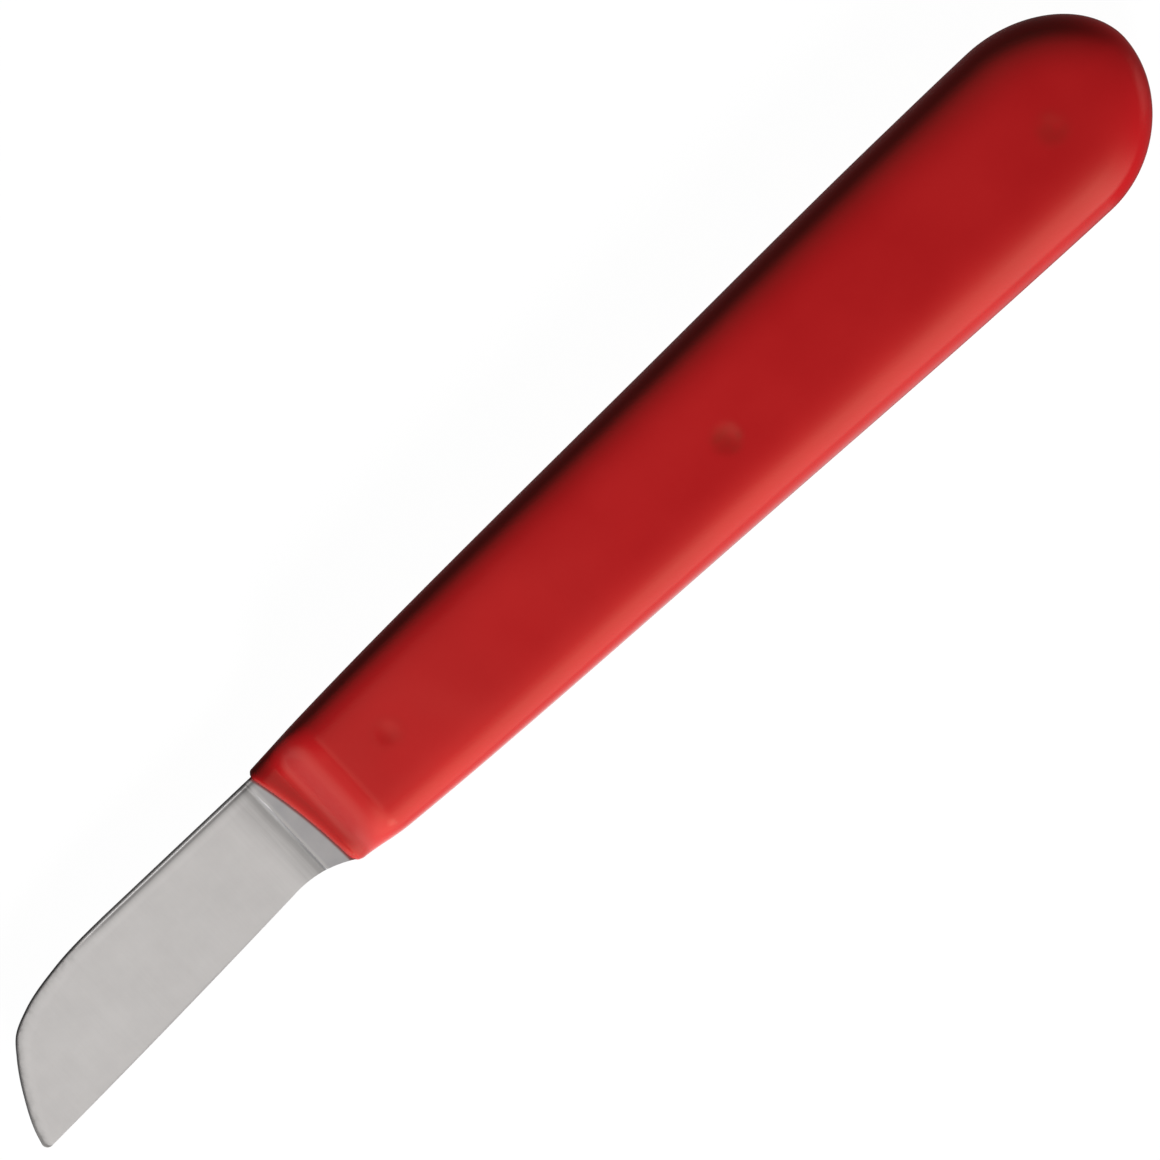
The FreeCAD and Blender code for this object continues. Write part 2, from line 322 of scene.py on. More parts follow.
def station_value(x, column):
    """Monotone cubic through one column of the station table, x in millimetres."""
    rows = SKIN_STATIONS[::-1]
    xs = [row[0] for row in rows]
    ys = [row[column] for row in rows]
    if x <= xs[0]:
        return ys[0]
    if x >= xs[-1]:
        return ys[-1]
    i = bisect.bisect_right(xs, x) - 1
    gaps = [b - a for a, b in zip(xs, xs[1:])]
    rises = [(b - a) / gap for a, b, gap in zip(ys, ys[1:], gaps)]

    def slope(k):
        if k == 0:
            return 0.0 if column == 1 else rises[0]
        if k == len(xs) - 1:
            return rises[-1]
        if rises[k - 1] * rises[k] <= 0:
            return 0.0
        w1 = 2 * gaps[k] + gaps[k - 1]
        w2 = gaps[k] + 2 * gaps[k - 1]
        return (w1 + w2) / (w1 / rises[k - 1] + w2 / rises[k])

    h = gaps[i]
    t = (x - xs[i]) / h
    a = ys[i] * (1 + 2 * t) * (1 - t) ** 2 + slope(i) * h * t * (1 - t) ** 2
    b = ys[i + 1] * t * t * (3 - 2 * t) + slope(i + 1) * h * t * t * (t - 1)
    return a + b


def edge_taper(x):
    """How much further the outline leans in towards the lip on the edge side."""
    return sum(lean * smooth((x - start) / length) for lean, start, length in (BEVEL_LEAN, LIP_LEAN))


def butt_share(angle):
    """Sine and cosine bent to the butt's slightly leaner curve."""
    s, c = math.sin(math.radians(angle)), math.cos(math.radians(angle))
    bend = (abs(s) ** BUTT_POWER + abs(c) ** BUTT_POWER) ** (-1 / BUTT_POWER)
    return s * bend, c * bend


def soft_min(a, b, blend):
    """The lesser of two heights, with a rounded change from one to the other."""
    h = max(0.0, min(1.0, 0.5 + 0.5 * (b - a) / blend))
    return b + (a - b) * h - blend * h * (1 - h)


def soft_max(a, b, blend):
    """The greater of two heights, rounded in the same way."""
    return -soft_min(-a, -b, blend)


def top_height(x, level, foot, shift):
    """Side profile over the mid-plane: flat grip, front bevel, then the film."""
    fall = (SKIN_HALF / MM - TANG_HALF / MM - FILM) / (BEVEL_FOOT_X - BEVEL_TOP_X)
    slope = level - (x - BEVEL_TOP_X - shift) * fall
    return soft_max(soft_min(level, slope, BEVEL_TOP_BLEND), foot, BEVEL_FOOT_BLEND)


def lip_x(y):
    """Slanted front end of the skin: a parabola through its three points, eased at the spine."""
    total = 0.0
    points = [LIP_SPINE, LIP_MIDDLE, LIP_EDGE]
    for x, at in points:
        weight = 1.0
        for _, other in points:
            if other != at:
                weight *= (y - other) / (at - other)
        total += x * weight
    return total - LIP_EASE * smooth(-y - LIP_EASE_Y)


def corner_profile(top, rise, power):
    """(share of the reach, height) pairs from the silhouette at the mid-plane up to the flat."""
    wall = top - rise
    pairs = [(0.0, 0.0), (0.0, wall * 0.5)]
    for k in range(CORNER_STEPS + 1):
        angle = math.radians(90.0) * k / CORNER_STEPS
        c, s = math.cos(angle), math.sin(angle)
        radius = (c**power + s**power) ** (-1 / power)
        pairs.append((1 - radius * c, wall + rise * radius * s))
    return pairs


def closed_loop(plus, minus, top, rise, powers):
    """Section through both sides: plus and minus are (outline point, point at the flat's rim)."""
    profile = corner_profile(top, rise, powers[0])
    upper = [(plus[0].lerp(plus[1], share), height) for share, height in profile]
    for k in range(1, FLAT_STEPS):
        upper.append((plus[1].lerp(minus[1], k / FLAT_STEPS), top))
    profile = corner_profile(top, rise, powers[1])
    upper += [(minus[0].lerp(minus[1], share), height) for share, height in reversed(profile)]
    lower = [(point, -height) for point, height in reversed(upper[1:-1])]
    return [(point.x, point.y, height) for point, height in upper + lower]


class Shell:
    """One wall of the skin: its inset from the outline and how its corners turn."""

    def __init__(self, inset, level, foot, shift, power, corner):
        self.inset = inset
        self.level = level
        self.foot = foot
        self.shift = shift
        self.power = power
        self.corner = corner

    def side_loop(self, x, lip_share=0.0, shrink=0.0, ahead=0.0):
        """Loop across the grip at x; lip_share bends it forward to the slanted lip."""

        def place(y):
            return x + lip_share * (lip_x(y) - x) + ahead

        reach, rise = self.corner(x)
        reach = reach - shrink * 0.5
        ends = []
        for side in (1, -1):
            at = place(side * FILM_SIDE_Y) if lip_share else x
            half = station_value(at, 1) - self.inset - shrink
            if side > 0:
                half -= edge_taper(at)
            ends.append((Vector((x, side * half)), Vector((x, side * (half - reach)))))
        top = top_height(x, self.level, self.foot, self.shift) - shrink
        rise = min(rise, top * 0.97) - shrink * 0.5
        soft = smooth((x - BEVEL_TOP_X - SOFT_DELAY) / SOFT_RISE)
        soft *= 1 - smooth((x - BEVEL_FOOT_X) / SOFT_FALL)
        spine_power = self.power + (min(self.power, BEVEL_POWER) - self.power) * soft
        loop = closed_loop(ends[0], ends[1], top, rise, (self.power, spine_power))
        if lip_share:
            return [(place(y), y, z) for _, y, z in loop]
        return loop

    def butt_loop(self, angle):
        """Loop round the butt; angle 0 is the shoulder and 90 the nose."""
        centre = Vector((SHOULDER_X, NOSE_Y))
        s, c = butt_share(angle)
        reach, rise = self.corner(SHOULDER_X)
        length = SHOULDER_X - BUTT_X / MM - self.inset
        ends = []
        for side in (1, -1):
            spread = SKIN_HALF_WIDTH / MM - self.inset - side * NOSE_Y
            outer = centre + Vector((-length * s, side * spread * c))
            inner = centre + Vector((-(length - reach) * s, side * (spread - reach) * c))
            ends.append((outer, inner))
        return closed_loop(ends[0], ends[1], self.level, rise, (self.power, self.power))


def outer_corner(x):
    """Plan reach and height of the skin's long rounding."""
    return station_value(x, 2), station_value(x, 3)


def inner_corner(x):
    """Round corner of the wood under the skin, or the square one of the bare tang."""
    for near, far in zip(CAD_ROUNDING, CAD_ROUNDING[1:]):
        if x >= far[0]:
            share = min(1.0, max(0.0, (near[0] - x) / (near[0] - far[0])))
            radius = near[1] + share * (far[1] - near[1]) - FILM
            return radius, radius
    return CAD_ROUNDING[-1][1] - FILM, CAD_ROUNDING[-1][1] - FILM


def spaced(start, end, steps, fine_spots):
    """Positions from start down to end; steps are the coarse one and the one in fine spots."""
    step, fine_step = steps
    positions = [start]
    x = start
    while x > end:
        near = any(low <= x <= high for low, high in fine_spots)
        x -= fine_step if near else step
        positions.append(max(x, end))
    if positions[-2] - positions[-1] < 0.3 * fine_step:
        positions.pop(-2)
    return positions


def relief(x, y, z, level):
    """Dimples over the pins and the slight unevenness of a dipped skin."""
    side = 1 if z > 0 else -1
    share = smooth((abs(z) / level - RELIEF_FLOOR) / (1 - RELIEF_FLOOR))
    drop = 0.0
    for pin, (depth, radius) in zip(PINS, DIMPLES):
        away = math.hypot(x - pin.x / MM, y - pin.y / MM) / radius
        if away < 1:
            drop += depth * (1 - away * away) ** 2
    wave = noise_at(Vector((x, 1.6 * y, 3.0 * side)) / UNEVEN_LENGTH)
    drop += UNEVEN_DEPTH * smooth(0.5 + wave)
    return z - side * share * drop


def make_skin():
    """Closed skin: outer wall from the lip to the butt, then the inner wall back again."""
    skin_half = SKIN_HALF / MM
    tang_half = TANG_HALF / MM
    outer = Shell(0.0, skin_half, tang_half + FILM, 0.0, ROUNDING_POWER, outer_corner)
    wall = FILM - CLEARANCE
    inner_foot = tang_half + CLEARANCE
    inner = Shell(wall, skin_half - wall, inner_foot, INNER_BEVEL_SHIFT, INNER_POWER, inner_corner)
    bevel_spots = [(BEVEL_TOP_X - BEVEL_MARGINS[0], BEVEL_FOOT_X + BEVEL_MARGINS[1])]
    pin_spots = [(pin.x / MM - PIN_MARGIN, pin.x / MM + PIN_MARGIN) for pin in PINS]
    film_start = BEVEL_FOOT_X + FILM_LENGTH
    loops = []
    for k in range(LIP_STEPS + 1):
        angle = math.radians(90.0) * k / LIP_STEPS
        shrink = LIP_ROUND * (1 - math.sin(angle))
        ahead = LIP_ROUND * (math.cos(angle) - 1)
        loops.append(outer.side_loop(film_start, 1.0, shrink, ahead))
    for k in range(SLANT_STEPS - 1, 0, -1):
        loops.append(outer.side_loop(film_start, k / SLANT_STEPS, 0.0, -LIP_ROUND * k / SLANT_STEPS))
    for x in spaced(film_start, SHOULDER_X, SKIN_STEPS, bevel_spots + pin_spots):
        loops.append(outer.side_loop(x))
    for k in range(1, BUTT_STEPS + 1):
        loops.append(outer.butt_loop(90.0 * k / BUTT_STEPS))
    loops = [[(x, y, relief(x, y, z, skin_half)) for x, y, z in loop] for loop in loops]
    inner_loops = [inner.side_loop(film_start, 1.0)]
    for x in spaced(film_start, SHOULDER_X, INNER_STEPS, bevel_spots):
        inner_loops.append(inner.side_loop(x))
    for k in range(1, INNER_BUTT_STEPS + 1):
        inner_loops.append(inner.butt_loop(90.0 * k / INNER_BUTT_STEPS))
    return mesh_from_loops("handle_skin", inner_loops[::-1] + loops)


def mesh_from_loops(name, loops, rims=None):
    """Joins loops of millimetre points into one closed mesh and welds its ends shut."""
    count = len(loops[0])
    bm = bmesh.new()
    layer = bm.verts.layers.float.new("rim") if rims else None
    rings = []
    for index, loop in enumerate(loops):
        ring = [bm.verts.new((x * MM, y * MM, MID_Z + z * MM)) for x, y, z in loop]
        if rims:
            for vertex, value in zip(ring, rims[index]):
                vertex[layer] = value
        rings.append(ring)
    for ring, following in zip(rings, rings[1:]):
        for k in range(count):
            j = (k + 1) % count
            bm.faces.new((ring[k], ring[j], following[j], following[k]))
    bmesh.ops.remove_doubles(bm, verts=bm.verts, dist=0.002 * MM)
    bmesh.ops.dissolve_degenerate(bm, dist=0.0005 * MM, edges=bm.edges)
    bmesh.ops.recalc_face_normals(bm, faces=bm.faces)
    mesh = bpy.data.meshes.new(name)
    bm.to_mesh(mesh)
    bm.free()
    for polygon in mesh.polygons:
        polygon.use_smooth = True
    piece = bpy.data.objects.new(name, mesh)
    bpy.context.scene.collection.objects.link(piece)
    return piece


# ---------------------------------------------------------------- shape of the blade
SPINE_Y = -7.25
SPINE_LEAN = 0.006
TANG_FRONT_X = 38.3
DROP_POINTS = [
    (63.0, -7.12),
    (70.7, -6.64),
    (76.1, -5.42),
    (78.9, -4.04),
    (80.5, -2.2),
    (82.7, 1.2),
    (84.9, 6.45),
]
DROP_TANGENTS = ((1.0, 0.02), (0.2, 1.0))
TIP_ROUND, EDGE_TIP = (84.84, 7.22), (84.2, 7.5)
EDGE_MIDDLE, EDGE_HEEL = (65.0, 6.62), (46.0, 5.5)
CHOIL_MIDDLE, CHOIL_END = (41.6, 5.85), (TANG_FRONT_X, 7.25)
PLUNGE_X, PLUNGE_RADIUS = 41.4, 0.5
# Half thickness of the flank inside the spine, its fall per millimetre towards the edge, how
# much steeper it gets up to the heel, and how much slope it loses per millimetre ahead of it.
FLANK_TOP, FLANK_SLOPE, FLANK_HEEL, FLANK_TWIST = 0.94, 0.068, 0.0072, 0.00028
HEEL_START_X, HEEL_X = 42.0, EDGE_HEEL[0]
# Narrow raised strip along the spine, which runs out towards the nose, and the width of the
# slope down from it.
STRIP_WIDTH, STRIP_STEP, STRIP_END_X, STRIP_FADE = 0.42, 0.06, 69.0, 5.0
STRIP_SLOPE = 0.06
PLUNGE_STEP = 0.01
HONED_SLOPE, EDGE_HALF = 0.25, 0.012
# Extra thickness of the choil's edge, which fades out ahead of the heel.
CHOIL_THICKNESS, CHOIL_END_X, CHOIL_FADE = 0.3, 47.5, 2.5
SPINE_ROUND = 0.28
SHARP_ANGLE = math.radians(26)
# Steps of the mesh along the edge, the choil, the tip's rounding, each span of the nose and the
# tang's butt, and the coarse and fine spacing of the sections of the blade and of the tang.
EDGE_STEPS, CHOIL_STEPS, TIP_STEPS, NOSE_STEPS, TANG_BUTT_STEPS = 60, 40, 10, 12, 30
BLADE_STEPS, TANG_STEPS = (0.8, 0.08), (3.0, 3.0)
PLUNGE_MARGINS = (0.3, 1.2)
# Points of a section: steps round the spine, distances in from it, steps across the flank, where
# those start and end, and shares of the last stretch to the edge.
SPINE_STEPS, SPINE_INSETS = 5, (0.10, 0.16, 0.22, 0.35, 0.5, 0.8)
FLANK_STEPS, FLANK_START, FLANK_END = 16, 1.0, 0.75
EDGE_SHARES = (0.8, 0.6, 0.4, 0.2, 0.0)
DRILL_SIDES, DRILL_DEPTH = 48, 30 * MM


def arc_points(start, middle, end, steps):
    """Points along the circle through three plan points."""
    (ax, ay), (bx, by), (cx, cy) = start, middle, end
    twice = 2 * (ax * (by - cy) + bx * (cy - ay) + cx * (ay - by))
    a, b, c = ax * ax + ay * ay, bx * bx + by * by, cx * cx + cy * cy
    ox = (a * (by - cy) + b * (cy - ay) + c * (ay - by)) / twice
    oy = (a * (cx - bx) + b * (ax - cx) + c * (bx - ax)) / twice
    first, last = math.atan2(ay - oy, ax - ox), math.atan2(cy - oy, cx - ox)
    turn = (last - first + math.pi) % (2 * math.pi) - math.pi
    radius = math.hypot(ax - ox, ay - oy)
    angles = [first + turn * k / steps for k in range(steps + 1)]
    return [Vector((ox + radius * math.cos(t), oy + radius * math.sin(t))) for t in angles]


def spline_points(points, first, last, steps):
    """Smooth curve through plan points, with the directions at both ends given."""
    points = [Vector(point) for point in points]
    gaps = [(b - a).length for a, b in zip(points, points[1:])]
    slopes = [(b - a) / gap for a, b, gap in zip(points, points[1:], gaps)]
    tangents = [Vector(first).normalized()]
    for k in range(1, len(points) - 1):
        share = gaps[k - 1] / (gaps[k - 1] + gaps[k])
        tangents.append(slopes[k - 1].lerp(slopes[k], share))
    tangents.append(Vector(last).normalized())
    curve = [points[0]]
    for k, gap in enumerate(gaps):
        for step in range(1, steps + 1):
            t = step / steps
            curve.append(
                points[k] * ((1 + 2 * t) * (1 - t) ** 2)
                + tangents[k] * (gap * t * (1 - t) ** 2)
                + points[k + 1] * (t * t * (3 - 2 * t))
                + tangents[k + 1] * (gap * t * t * (t - 1))
            )
    return curve


def at_x(curve, x):
    """Point of a plan curve at x; the curve's x only ever falls."""
    for a, b in zip(curve, curve[1:]):
        if a.x >= x >= b.x:
            return a.lerp(b, (a.x - x) / max(a.x - b.x, 1e-9))
    return curve[0] if x > curve[0].x else curve[-1]


def blade_stations():
    """(spine-side point, edge-side point) pairs from the tip back to the butt."""
    edge = arc_points(EDGE_TIP, EDGE_MIDDLE, EDGE_HEEL, EDGE_STEPS)
    edge += arc_points(EDGE_HEEL, CHOIL_MIDDLE, CHOIL_END, CHOIL_STEPS)[1:]
    tip = Vector(EDGE_TIP)
    tip_arc = arc_points(EDGE_TIP, TIP_ROUND, DROP_POINTS[-1], TIP_STEPS)
    pairs = [(point, tip) for point in tip_arc]
    nose = spline_points(DROP_POINTS, *DROP_TANGENTS, NOSE_STEPS)[::-1]
    lengths = [0.0]
    for a, b in zip(nose, nose[1:]):
        lengths.append(lengths[-1] + (b - a).length)
    for point, length in zip(nose[1:], lengths[1:]):
        x = EDGE_TIP[0] + (DROP_POINTS[0][0] - EDGE_TIP[0]) * length / lengths[-1]
        pairs.append((point, at_x(edge, x)))
    plunge_spots = [(PLUNGE_X - PLUNGE_MARGINS[0], PLUNGE_X + PLUNGE_MARGINS[1])]
    for x in spaced(DROP_POINTS[0][0], TANG_FRONT_X, BLADE_STEPS, plunge_spots)[1:]:
        spine = Vector((x, SPINE_Y + SPINE_LEAN * max(0.0, x - PLUNGE_X)))
        pairs.append((spine, at_x(edge, x)))
    for x in spaced(TANG_FRONT_X, SHOULDER_X, TANG_STEPS, [])[1:]:
        half = station_value(x, 1) - FILM
        pairs.append((Vector((x, -half)), Vector((x, half))))
    length = SHOULDER_X - BUTT_X / MM - FILM
    for k in range(1, TANG_BUTT_STEPS + 1):
        s, c = butt_share(90.0 * k / TANG_BUTT_STEPS)
        ends = []
        for side in (-1, 1):
            spread = SKIN_HALF_WIDTH / MM - FILM - side * NOSE_Y
            ends.append(Vector((SHOULDER_X - length * s, NOSE_Y + side * spread * c)))
        pairs.append(tuple(ends))
    return pairs


def flank_height(point, rim, to_edge):
    """Half thickness at a plan point: plain behind the plunge line, hollowed ahead of it."""
    plate = TANG_HALF / MM
    ahead = point.x - PLUNGE_X
    if ahead < 0:
        return plate
    steeper = smooth((point.x - HEEL_START_X) / (HEEL_X - HEEL_START_X))
    slope = FLANK_SLOPE + FLANK_HEEL * steeper - FLANK_TWIST * max(0.0, point.x - HEEL_X)
    ground = FLANK_TOP - slope * (point.y - SPINE_Y - STRIP_WIDTH)
    strip = smooth((STRIP_END_X - point.x) / STRIP_FADE)
    strip *= smooth((STRIP_WIDTH + STRIP_SLOPE / 2 - rim) / STRIP_SLOPE)
    ground += strip * STRIP_STEP
    ground = min(ground, plate - PLUNGE_STEP)
    honed = EDGE_HALF + HONED_SLOPE * to_edge
    honed += CHOIL_THICKNESS * smooth((CHOIL_END_X - point.x) / CHOIL_FADE)
    ground = max(min(ground, honed), EDGE_HALF)
    if ahead < PLUNGE_RADIUS:
        back = PLUNGE_RADIUS - ahead
        ground += PLUNGE_RADIUS - math.sqrt(PLUNGE_RADIUS**2 - back**2)
    return min(plate, ground)


def blade_loop(spine, edge, inward):
    """Section from the spine-side point to the edge-side one, with each point's rim distance."""
    span = (edge - spine).length
    reach = min(SPINE_ROUND, 0.3 * span)
    plan = []
    for k in range(SPINE_STEPS + 1):
        angle = math.radians(90.0 / SPINE_STEPS) * k
        plan.append((spine + inward * (reach * (1 - math.cos(angle))), 1 - math.sin(angle)))
    start = plan[-1][0]
    rest = (edge - start).length
    for away in SPINE_INSETS:
        plan.append((start.lerp(edge, min(0.5, away / max(rest, 1e-6))), 0.0))
    near = min(0.5, FLANK_START / max(rest, 1e-6))
    far = min(0.5, FLANK_END / max(rest, 1e-6))
    for k in range(1, FLANK_STEPS + 1):
        plan.append((start.lerp(edge, near + (1 - near - far) * k / FLANK_STEPS), 0.0))
    for share in EDGE_SHARES:
        plan.append((start.lerp(edge, 1 - far * share), 0.0))
    upper, rims = [], []
    for point, fall in plan:
        rim = (point - spine).length
        height = flank_height(point, rim, (edge - point).length)
        upper.append((point.x, point.y, height - min(SPINE_ROUND, 0.7 * height, span) * fall))
        rims.append(rim)
    upper.insert(0, (spine.x, spine.y, 0.0))
    rims.insert(0, 0.0)
    upper.append((edge.x, edge.y, 0.0))
    rims.append(span)
    lower = [(x, y, -z) for x, y, z in upper[-2:0:-1]]
    return upper + lower, rims + rims[-2:0:-1]


def make_blade():
    """Blade, ricasso and tang in one closed mesh, with the pin holes cut through it."""
    pairs = blade_stations()
    loops, rims = [], []
    for k, (spine, edge) in enumerate(pairs):
        before, after = pairs[max(k - 1, 0)][0], pairs[min(k + 1, len(pairs) - 1)][0]
        along = (before - after).normalized()
        inward = Vector((-along.y, along.x))
        loop, rim = blade_loop(spine, edge, inward)
        loops.append(loop)
        rims.append(rim)
    piece = mesh_from_loops("blade_steel", loops, rims)
    for name in PIN_NAMES:
        bore_hole(piece, *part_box(name))
    piece.data.set_sharp_from_angle(angle=SHARP_ANGLE)
    return piece


def bore_hole(piece, low, high):
    """Cuts a round hole as wide as the given box right through the piece."""
    drill_mesh = bpy.data.meshes.new("drill")
    bm = bmesh.new()
    radius = (high.x - low.x) / 2
    bmesh.ops.create_cone(
        bm, cap_ends=True, segments=DRILL_SIDES, radius1=radius, radius2=radius, depth=DRILL_DEPTH
    )
    bm.to_mesh(drill_mesh)
    bm.free()
    drill = bpy.data.objects.new("drill", drill_mesh)
    bpy.context.scene.collection.objects.link(drill)
    drill.location = (low + high) / 2
    cut = piece.modifiers.new("pin_hole", "BOOLEAN")
    cut.operation = "DIFFERENCE"
    cut.solver = "EXACT"
    cut.object = drill
    bpy.context.view_layer.update()
    cut_piece = piece.evaluated_get(bpy.context.evaluated_depsgraph_get())
    cut_mesh = bpy.data.meshes.new_from_object(cut_piece)
    piece.modifiers.clear()
    piece.data = cut_mesh
    bpy.data.objects.remove(drill)
    bpy.data.meshes.remove(drill_mesh)


# ---------------------------------------------------------------- materials
def new_material(name):
    """Material, its node tree and its shader."""
    material = bpy.data.materials.new(name)
    material.use_nodes = True
    tree = material.node_tree
    return material, tree, tree.nodes["Principled BSDF"]


def noise(tree, vector, scale, detail, roughness=0.5):
    """Noise between 0 and 1 at the given coordinates."""
    node = tree.nodes.new("ShaderNodeTexNoise")
    node.inputs["Scale"].default_value = scale
    node.inputs["Detail"].default_value = detail
    node.inputs["Roughness"].default_value = roughness
    tree.links.new(vector, node.inputs["Vector"])
    return node.outputs["Fac"]


def stretched(tree, vector, scale):
    """Coordinates scaled differently along each axis."""
    node = tree.nodes.new("ShaderNodeMapping")
    node.inputs["Scale"].default_value = scale
    tree.links.new(vector, node.inputs["Vector"])
    return node.outputs["Vector"]


def curve_through(tree, value, points):
    """Piecewise smooth factor through (value, factor) points."""
    node = tree.nodes.new("ShaderNodeFloatCurve")
    last = points[-1][0]
    curve = node.mapping.curves[0]
    for k, (at, factor) in enumerate(points):
        if k < 2:
            curve.points[k].location = (at / last, factor)
        else:
            curve.points.new(at / last, factor)
    node.mapping.update()
    tree.links.new(math_node(tree, "MULTIPLY", value, 1 / last, clamp=True), node.inputs["Value"])
    return node.outputs["Value"]


def dimmed(tree, colour, factor):
    """Colour multiplied by a factor."""
    node = tree.nodes.new("ShaderNodeVectorMath")
    node.operation = "SCALE"
    tree.links.new(colour, node.inputs[0])
    tree.links.new(factor, node.inputs["Scale"])
    return node.outputs[0]


def lip_distance(tree, axes):
    """How far ahead of the skin's lip a point is, in metres."""
    a, b, c = lip_x(0.0), (lip_x(1.0) - lip_x(-1.0)) / 2, (lip_x(1.0) + lip_x(-1.0)) / 2 - lip_x(0.0)
    line = math_node(tree, "MULTIPLY", axes["Y"], b)
    bow = math_node(tree, "MULTIPLY", math_node(tree, "MULTIPLY", axes["Y"], axes["Y"]), c / MM)
    lip = math_node(tree, "ADD", math_node(tree, "ADD", line, bow), a * MM)
    return math_node(tree, "SUBTRACT", axes["X"], lip)


def separate(tree, vector):
    """A vector's X, Y and Z outputs, by name."""
    node = tree.nodes.new("ShaderNodeSeparateXYZ")
    tree.links.new(vector, node.inputs[0])
    return node.outputs


def mix(tree, factor, first, second):
    """Colour mix; first and second are colours or sockets."""
    node = tree.nodes.new("ShaderNodeMix")
    node.data_type = "RGBA"
    tree.links.new(factor, node.inputs["Factor"])
    for socket, value in ((node.inputs[6], first), (node.inputs[7], second)):
        if isinstance(value, tuple):
            socket.default_value = (*value, 1.0)
        else:
            tree.links.new(value, socket)
    return node.outputs[2]


def bump(tree, shader, height, strength, distance):
    """Fine relief on a shader, with its greatest height in metres."""
    node = tree.nodes.new("ShaderNodeBump")
    node.inputs["Strength"].default_value = strength
    node.inputs["Distance"].default_value = distance
    tree.links.new(height, node.inputs["Height"])
    tree.links.new(node.outputs["Normal"], shader.inputs["Normal"])


def object_coordinates(tree):
    """Coordinates fixed to the piece, in metres."""
    return tree.nodes.new("ShaderNodeTexCoord").outputs["Object"]


# Strength and radius of the dull brownish darkening over each pin, front to rear.
PIN_DARKENING = [(0.18, 2.6), (0.50, 2.5), (0.30, 2.8)]
# Factors on a colour, each against a distance in millimetres: behind the lip (painted shade in the hollow at
# the bevel's foot, and the thin film darker over the steel), ahead of the plunge line (painted shade and a
# painted dark reflection of the plunge hollow, and the grind streaks), and in from the spine (painted shade
# on the spine's rim and in the step at the grind's start, and a painted dark rim round the nose).
FILM_SHADE = [(0.0, 0.92), (0.5, 0.92), (1.2, 0.77), (1.9, 0.84), (2.6, 1.0), (6.0, 1.0)]
PLUNGE_PAINTED_SHADE = [(0.0, 1.0), (0.1, 0.85), (0.25, 0.58), (0.7, 0.62), (1.4, 0.80), (2.4, 0.88), (4.5, 1.0), (6.0, 1.0)]
STREAK_ZONE = [(0.0, 0.0), (0.3, 0.8), (1.5, 1.0), (3.5, 0.3), (7.0, 0.1)]
PLUNGE_PAINTED_REFLECTION = [(0.0, 1.0), (0.08, 0.82), (0.2, 0.56), (0.4, 0.82), (0.6, 1.0), (1.0, 1.0)]
SPINE_PAINTED_SHADE = [(0.0, 0.85), (0.20, 0.80), (0.36, 0.90), (0.58, 0.44), (0.85, 0.74), (1.3, 1.0), (2.0, 1.0)]
NOSE_RIM_PAINTED_SHADE = [(0.0, 0.50), (0.22, 0.42), (0.42, 0.74), (0.8, 0.92), (1.2, 1.0), (2.0, 1.0)]
# Where the painted dark reflection at the plunge line, the painted dark rim of the nose, the painted shade on
# faces towards the edge and the painted shadow at the lip fade in: metres along Y, X and ahead of the lip,
# and for the edge the normal's Y.
PLUNGE_REFLECTION_FADE, NOSE_FADE = (-2 * MM, 3 * MM), (62 * MM, 68 * MM)
EDGE_FACING_SHADE_FADE, LIP_SHADOW_FADE = (0.10, 0.20), (0.08 * MM, 0.4 * MM)


def skin_material():
    """Glossy red vinyl, faintly clouded, darker over the pins, and darker behind the lip: partly the thin
    film over the steel, partly painted shade.
    """
    material, tree, shader = new_material("red_vinyl")
    where = object_coordinates(tree)
    cloud = noise(tree, where, 90.0, 3.0)
    speck = noise(tree, where, 1400.0, 2.0)
    colour = mix(tree, band(tree, cloud, 0.35, 0.65), (0.398, 0.0068, 0.0094), (0.422, 0.0080, 0.0106))
    plan = tree.nodes.new("ShaderNodeVectorMath")
    plan.operation = "MULTIPLY"
    plan.inputs[1].default_value = (1, 1, 0)
    tree.links.new(where, plan.inputs[0])
    patch = noise(tree, where, 700.0, 2.0)
    # A darker mottled spot over each pin, mixed into the vinyl's colour.
    for pin, (strength, radius) in zip(PINS, PIN_DARKENING):
        away = tree.nodes.new("ShaderNodeVectorMath")
        away.operation = "DISTANCE"
        away.inputs[1].default_value = (pin.x, pin.y, 0)
        tree.links.new(plan.outputs[0], away.inputs[0])
        pin_darkening_mask = band(tree, away.outputs["Value"], radius * MM, 0.3 * radius * MM, smooth_step=True)
        pin_darkening_mask = math_node(tree, "MULTIPLY", pin_darkening_mask, band(tree, patch, 0.35, 0.65, 0.4 * strength, strength))
        colour = mix(tree, pin_darkening_mask, colour, (0.22, 0.020, 0.012))
    # Painted shade: the film darkens in the hollow at the bevel's foot; the thin film over the steel is also
    # darker.
    behind = math_node(tree, "MULTIPLY", lip_distance(tree, separate(tree, where)), -1 / MM)
    film = curve_through(tree, behind, FILM_SHADE)
    tree.links.new(dimmed(tree, colour, film), shader.inputs["Base Color"])
    tree.links.new(band(tree, cloud, 0.3, 0.7, 0.20, 0.26), shader.inputs["Roughness"])
    shader.inputs["Specular Tint"].default_value = (1.0, 0.90, 0.66, 1)
    bump(tree, shader, speck, 0.05, 0.00002)
    shader.inputs["IOR"].default_value = 1.5
    return material


